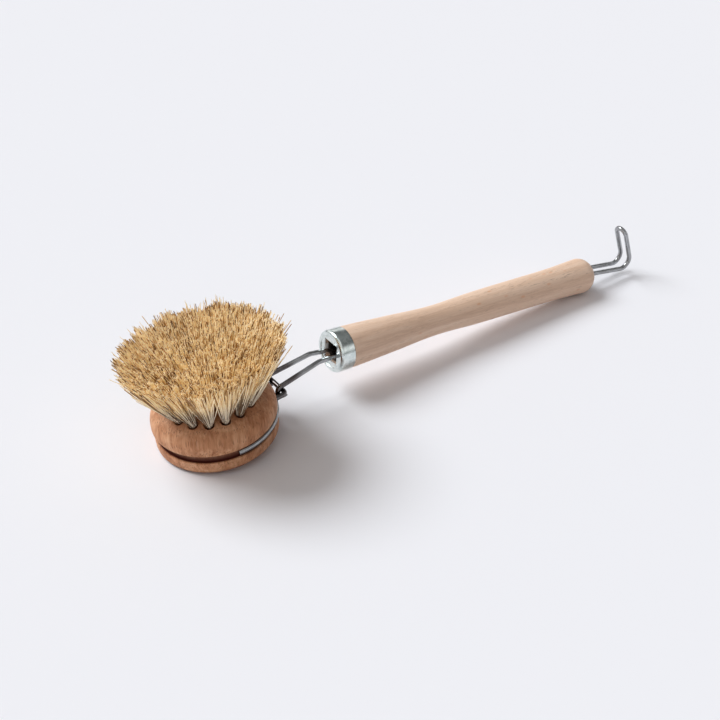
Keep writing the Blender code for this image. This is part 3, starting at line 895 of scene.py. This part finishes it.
def eye_half(bar, frame_matrix):
    """One eye and its arm, up to the strand's entry into the ferrule."""
    entry = frame_matrix @ Vector((ENTRY_DROP, ENTRY_SPREAD, TENON_FRONT))
    neck = frame_matrix @ Vector((NECK_DROP, NECK_SPREAD, -NECK_REACH))
    middle = bar + Vector((0, EYE_SPREAD, 0))
    flat = Vector((neck.x - middle.x, 0, neck.z - middle.z))
    lift = math.acos(EYE_RADIUS / flat.length)
    touch = middle + Matrix.Rotation(-lift, 3, "Y") @ flat.normalized() * EYE_RADIUS
    eye = arc(middle, touch, Vector((0, -1, 0)), EYE_SWEEP, EYE_STEPS)
    return eye[::-1] + bend(touch, neck, entry, NECK_BEND_RADIUS, BEND_STEPS) + [entry]


def neck_and_hook_path(bar, frame_matrix):
    """Centre line of the one wire that makes both eyes, the neck and the hook."""
    leave = Vector((-EXIT_RISE, EXIT_SPREAD, HANDLE_END))
    droop = HOOK_REACH * math.sin(HOOK_DROOP)
    along = HOOK_REACH * math.cos(HOOK_DROOP)
    corner = Vector((droop - EXIT_RISE, HOOK_SPREAD, HANDLE_END + along))
    lean = HOOK_ANGLE + HOOK_DROOP
    riser = Vector((-math.sin(lean), 0, -math.cos(lean)))
    shoulder = corner + riser * (HOOK_RISE - HOOK_SPREAD)
    half = [leave] + bend(leave, corner, shoulder, HOOK_BEND_RADIUS, BEND_STEPS)
    half = eye_half(bar, frame_matrix) + [frame_matrix @ point for point in half]
    top = shoulder - Vector((0, HOOK_SPREAD, 0))
    across = riser.cross(Vector((0, 1, 0)))
    crown = [frame_matrix @ p for p in arc(top, shoulder, -across, math.pi, 2 * BEND_STEPS)]
    mirrored = [Vector((point.x, -point.y, point.z)) for point in reversed(half)]
    return half + crown + mirrored


def clip_path():
    """Centre line of the clip in the head's frame, from one free end to the other."""
    step_out = math.asin(LEG_SPREAD / CLIP_RADIUS)
    hub = Vector((0, 0, CLIP_HEIGHT))
    leg = Vector((CLIP_RADIUS * math.cos(step_out), LEG_SPREAD, CLIP_HEIGHT))
    corner = Vector((BAR_DISTANCE, LEG_SPREAD, CLIP_HEIGHT))
    middle = Vector((BAR_DISTANCE, 0, CLIP_HEIGHT))
    ease = step_out + CLIP_BEND_RADIUS / CLIP_RADIUS
    start = hub + Matrix.Rotation(ease, 3, "Z") @ Vector((CLIP_RADIUS, 0, 0))
    ring = arc(hub, start, Vector((0, 0, 1)), CLIP_END_ANGLE - ease, RING_STEPS)
    half = ring[::-1] + bend(start, leg, corner, CLIP_BEND_RADIUS / 2, BEND_STEPS)
    half += bend(leg, corner, middle, CLIP_BEND_RADIUS, BEND_STEPS)
    return half + [Vector((point.x, -point.y, point.z)) for point in reversed(half)]


def tufts(ring):
    """Root, directions and tip cell of every tuft of a ring, in the head's frame."""
    rings = len(TUFT_COUNTS)
    cell = BRISTLE_RADIUS / (2 * rings - 1)
    count = TUFT_COUNTS[ring]
    root_radius = TUFT_PITCH * (rings - 1 - ring)
    tip_radius = cell * 2 * (rings - 1 - ring)
    half_arc = math.pi * tip_radius / count if tip_radius else cell
    for index in range(count):
        turn = Matrix.Rotation(TUFT_PHASES[ring] + math.tau * index / count, 4, "Z")
        root = turn @ Vector((root_radius, 0, dome_height(root_radius)))
        tip = turn @ Vector((tip_radius, 0, 0))
        tip.z = trim_height(tip.x, tip.y)
        radial = turn @ Vector((1, 0, 0))
        tangent = turn @ Vector((0, 1, 0))
        along = (tip - root).normalized()
        side = along.cross(radial).normalized()
        yield {"root": root, "axis": along, "ahead": side.cross(along), "side": side, "tip": tip,
               "reach": radial * cell, "swing": tangent * half_arc}


def tuft_points(name, rings, matrix):
    """A point for each tuft of some rings, in place, with its directions."""
    rows = [row for ring in rings for row in tufts(ring)]
    turn = matrix.to_3x3()
    fields = {label: [turn @ row[label] for row in rows]
              for label in ("axis", "ahead", "side", "reach", "swing")}
    fields["tip"] = [matrix @ row["tip"] for row in rows]
    return point_mesh(name, [matrix @ row["root"] for row in rows], fields)


def block_outline():
    """The head block: domed top, lip, groove, flange and rounded back, from the axis out."""
    outline = []
    for step in range(DOME_STEPS + 1):
        angle = math.pi / 2 * step / DOME_STEPS
        radius = LIP_RADIUS * math.sin(angle) ** (2 / DOME_FULLNESS)
        height = (DOME_TOP - DOME_FOOT) * max(math.cos(angle), 0) ** (2 / DOME_FULLNESS)
        outline.append((radius, DOME_FOOT + height))
    for sine, cosine in quarter(EDGE_STEPS):
        outline.append((LIP_RADIUS - EDGE_BREAK * (1 - cosine),
                        GROOVE_TOP + EDGE_BREAK * (1 - sine)))
    outline += [(GROOVE_RADIUS, GROOVE_TOP), (GROOVE_RADIUS, FLANGE_HEIGHT)]
    for sine, cosine in quarter(EDGE_STEPS):
        outline.append((FLANGE_RADIUS - EDGE_BREAK * (1 - sine),
                        FLANGE_HEIGHT - EDGE_BREAK * (1 - cosine)))
    for sine, cosine in quarter(EDGE_STEPS):
        outline.append((BACK_FLAT_RADIUS + BACK_EDGE * cosine, BACK_EDGE * (1 - sine)))
    return outline + [(0, 0)]


def ferrule_outline():
    """The drawn cap, from the middle of its face's inside, round its wall, to its outside."""
    inner = FERRULE_RADIUS - FERRULE_WALL
    inner_edge = FERRULE_EDGE - FERRULE_WALL
    face = FACE_RECESS + FERRULE_WALL
    outline = [(0, face), (FACE_RECESS_RADIUS, face),
               (FACE_RECESS_RADIUS + FACE_RECESS, FERRULE_WALL)]
    for sine, cosine in quarter(EDGE_STEPS):
        outline.append((inner - inner_edge * (1 - sine), FERRULE_WALL + inner_edge * (1 - cosine)))
    outline += [(inner, FERRULE_LENGTH), (FERRULE_RADIUS, FERRULE_LENGTH)]
    for sine, cosine in quarter(EDGE_STEPS):
        outline.append((FERRULE_RADIUS - FERRULE_EDGE * (1 - cosine), FERRULE_EDGE * (1 - sine)))
    return outline + [(FACE_RECESS_RADIUS + FACE_RECESS, 0), (FACE_RECESS_RADIUS, FACE_RECESS),
                      (0, FACE_RECESS)]


def box_mesh(name, low, high):
    """A box between two corners."""
    work = bmesh.new()
    size = Matrix.Diagonal((*(high - low), 1))
    bmesh.ops.create_cube(work, size=1, matrix=Matrix.Translation((low + high) / 2) @ size)
    made = bpy.data.meshes.new(name)
    work.to_mesh(made)
    work.free()
    return made


# Pieces

def make_handle(tree, matrix):
    """The turned handle with its tenon and bore."""
    outline = handle_outline()
    outline += [(TENON_RADIUS, HANDLE_SHOULDER), (TENON_RADIUS, TENON_FRONT),
                (MOUTH_RADIUS, TENON_FRONT), (MOUTH_RADIUS, TENON_FRONT + TAB_DEPTH),
                (BORE_RADIUS, TENON_FRONT + TAB_DEPTH + BORE_CHAMFER),
                (BORE_RADIUS, outline[0][1] - EDGE_BREAK), outline[0]]
    made = turned("turned_handle", outline, HANDLE_STEPS, tree, handle_wood(matrix), matrix)
    piece("turned_handle", made, "handle", ["handle"])


def make_ferrule(tree, matrix):
    """The zinc cap with its square window and its two turned-in tabs."""
    half = WINDOW_SIDE / 2
    face = FACE_RECESS + FERRULE_WALL
    made = turned("zinc_cap", ferrule_outline(), HANDLE_STEPS, tree, zinc_sheet(matrix), Matrix())
    window = box_mesh("window", Vector((-half, -half, -OVERRUN)),
                      Vector((half, half, face + OVERRUN)))
    tools = [("DIFFERENCE", window)]
    for side in (-1, 1):
        across = sorted((side * (half - TAB_THICKNESS), side * (half + TAB_THICKNESS)))
        low = Vector((-TAB_WIDTH / 2, across[0], face - FERRULE_WALL / 2))
        high = Vector((TAB_WIDTH / 2, across[1], face + TAB_DEPTH))
        tools.append(("UNION", box_mesh("tab", low, high)))
    made = cut_or_joined(made, tools)
    made.transform(matrix)
    piece("zinc_cap", made, "handle", ["ferrule"])


def make_wires(tree, bar, handle, head):
    """The wire of the neck and hook, and the clip in the head's groove."""
    finish = drawn_wire(bar)
    made = drawn("neck_and_hook", neck_and_hook_path(bar, handle), tree, finish)
    piece("neck_and_hook", made, "handle", ["handle_wire"])
    made = drawn("spring_clip", clip_path(), tree, finish, head)
    piece("spring_clip", made, "clip", ["head_clip"])


def make_head(turning, drilling, matrix):
    """The turned head with a drilled, countersunk hole for every tuft."""
    finish = head_wood(matrix)
    top = OVERRUN + HOLE_RADIUS
    mouth = HOLE_RADIUS + EDGE_BREAK
    outline = [(0, top), (mouth, top), (mouth, EDGE_BREAK / 2), (HOLE_RADIUS, -EDGE_BREAK),
               (HOLE_RADIUS, -HOLE_DEPTH), (0, -HOLE_DEPTH)]
    drill = added("drill", turned("drill", outline, HOLE_SIDES, turning, finish, Matrix()))
    points = tuft_points("holes", range(len(TUFT_COUNTS)), Matrix())
    holes = shaped("holes", points, drilling, {"Drill": drill, "Finish": finish})
    bpy.data.objects.remove(drill, do_unlink=True)
    made = turned("turned_head", block_outline(), BLOCK_STEPS, turning, finish, Matrix())
    made = cut_or_joined(made, [("DIFFERENCE", holes)])
    made.transform(matrix)
    piece("turned_head", made, "head", ["head_block"])


def make_bristles(tree, matrix):
    """The bristles: the outer ring, then the inner rings."""
    values = {"Bristles": BRISTLES_A_TUFT, "Hole radius": HOLE_RADIUS - 2 * PLAY, "Sink": HOLE_SINK,
              "Thickness": BRISTLE_THICKNESS, "Trim": BRISTLE_UNEVENNESS, "Clumps": CLUMP_SCALE,
              "Clump depth": CLUMP_DEPTH, "Stray": BRISTLE_STRAY, "Finish": bristle_fibre()}
    groups = (("outer_bristles", range(1)), ("inner_bristles", range(1, len(TUFT_COUNTS))))
    for (name, rings), seed in zip(groups, BRISTLE_SEEDS):
        points = tuft_points(name, rings, matrix)
        made = shaped(name, points, tree, {**values, "Seed": seed})
        made.shade_smooth()
        nodes = [f"tuft_{ring + 1}_{index + 1:02d}" for ring in rings
                 for index in range(TUFT_COUNTS[ring])]
        piece(name, made, "head", nodes)


def make_brush():
    """Every piece of the brush, from the tilt joint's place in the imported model."""
    joint = next(item for item in frame["joints"] if item["name"] == "head_tilt")
    bar = Vector(joint["pos_m"])
    head = head_frame(bar)
    handle = handle_frame(bar)
    turning = turning_tree()
    make_handle(turning, handle)
    make_ferrule(turning, handle)
    make_wires(wire_tree(), bar, handle, head)
    make_head(turning, drilling_tree(), head)
    make_bristles(bristle_tree(), head)


# Studio

FLOOR_COLOUR = paint(240, 240, 245)
KEY_STRENGTH = 2.46
KEY_COLOUR = (1.0, 1.04, 1.06)
KEY_SOFTNESS = math.radians(35)
KEY_DIRECTION = (-0.36, 0.58, 0.80)
FILL_STRENGTH = 0.47
FILL_COLOUR = (1.0, 0.99, 0.97)
FILL_SOFTNESS = math.radians(70)
FILL_DIRECTION = (-0.38, -0.42, 0.82)
ROOM_STRENGTH = 0.275
ROOM_COLOUR = (1.0, 0.94, 0.91)
ROOM_SLOPE = 0.8
ROOM_IN_METAL = ((0.0, 0.30), (0.10, 0.34), (0.24, 0.95), (0.44, 0.85), (0.60, 0.13), (0.80, 0.18),
                 (1.0, 0.36))


def make_floor():
    """A plain pale floor."""
    made, graph = finish_of("studio_floor")
    surface(graph, {"Base Color": (*FLOOR_COLOUR, 1.0), "Roughness": 0.9,
                    "Specular IOR Level": 0.1})
    half = FLOOR_SIZE / 2
    data = bpy.data.meshes.new("floor")
    data.from_pydata([(-half, -half, 0), (half, -half, 0), (half, half, 0), (-half, half, 0)], [],
                     [(0, 1, 2, 3)])
    data.materials.append(made)
    floor = added("floor", data)


def make_lamp(name, strength, colour, softness, direction):
    """A large soft lamp, far away in a direction."""
    lamp = bpy.data.lights.new(name, "SUN")
    lamp.energy = strength
    lamp.color = colour
    lamp.angle = softness
    shown = added(name, lamp)
    shown.rotation_mode = "QUATERNION"
    shown.rotation_quaternion = Vector(direction).to_track_quat("Z", "Y")


def make_light():
    """A soft key lamp from behind on the left, a weak fill from the front, and a room around."""
    make_lamp("key", KEY_STRENGTH, KEY_COLOUR, KEY_SOFTNESS, KEY_DIRECTION)
    make_lamp("fill", FILL_STRENGTH, FILL_COLOUR, FILL_SOFTNESS, FILL_DIRECTION)
    world = bpy.data.worlds.new("room")
    world.use_nodes = True
    world.node_tree.nodes.clear()
    graph = Graph(world.node_tree)
    rays = graph.node("ShaderNodeLightPath")
    towards = graph.node("ShaderNodeNewGeometry")["Incoming"]
    level = Vector((KEY_DIRECTION[0], KEY_DIRECTION[1], 0)).normalized()
    side = vector_math(graph, "DOT_PRODUCT", towards, level)["Value"]
    room = graph.node("ShaderNodeBackground", {}, {
        "Color": (*ROOM_COLOUR, 1.0), "Strength": (1 - side * ROOM_SLOPE) * ROOM_STRENGTH})
    height = graph.node("ShaderNodeSeparateXYZ", {}, {0: towards})["Z"] * -1
    mirrored = toned(graph, height, [(place, (grey, grey, grey)) for place, grey in ROOM_IN_METAL])
    panels = graph.node("ShaderNodeBackground", {}, {"Color": mirrored, "Strength": 1.0})
    wall = graph.node("ShaderNodeBackground", {}, {"Color": (*FLOOR_COLOUR, 1.0), "Strength": 1.0})
    both = graph.node("ShaderNodeMixShader", {}, {0: rays["Is Glossy Ray"], 1: room, 2: panels})
    both = graph.node("ShaderNodeMixShader", {}, {0: rays["Is Camera Ray"], 1: both, 2: wall})
    graph.node("ShaderNodeOutputWorld", {}, {"Surface": both})
    bpy.context.scene.world = world


def make_camera():
    """The camera at the photograph's place and angle."""
    data = bpy.data.cameras.new("camera")
    data.lens = CAMERA_LENS
    data.sensor_width = SENSOR_WIDTH
    camera = added("camera", data)
    ahead = Vector((math.cos(CAMERA_PITCH) * math.cos(CAMERA_HEADING),
                    math.cos(CAMERA_PITCH) * math.sin(CAMERA_HEADING), -math.sin(CAMERA_PITCH)))
    camera.location = CAMERA_PLACE
    camera.rotation_mode = "QUATERNION"
    camera.rotation_quaternion = ahead.to_track_quat("-Z", "Y")
    bpy.context.scene.camera = camera


make_camera()
make_brush()
make_floor()
make_light()
bpy.context.scene.view_settings.view_transform = "Standard"
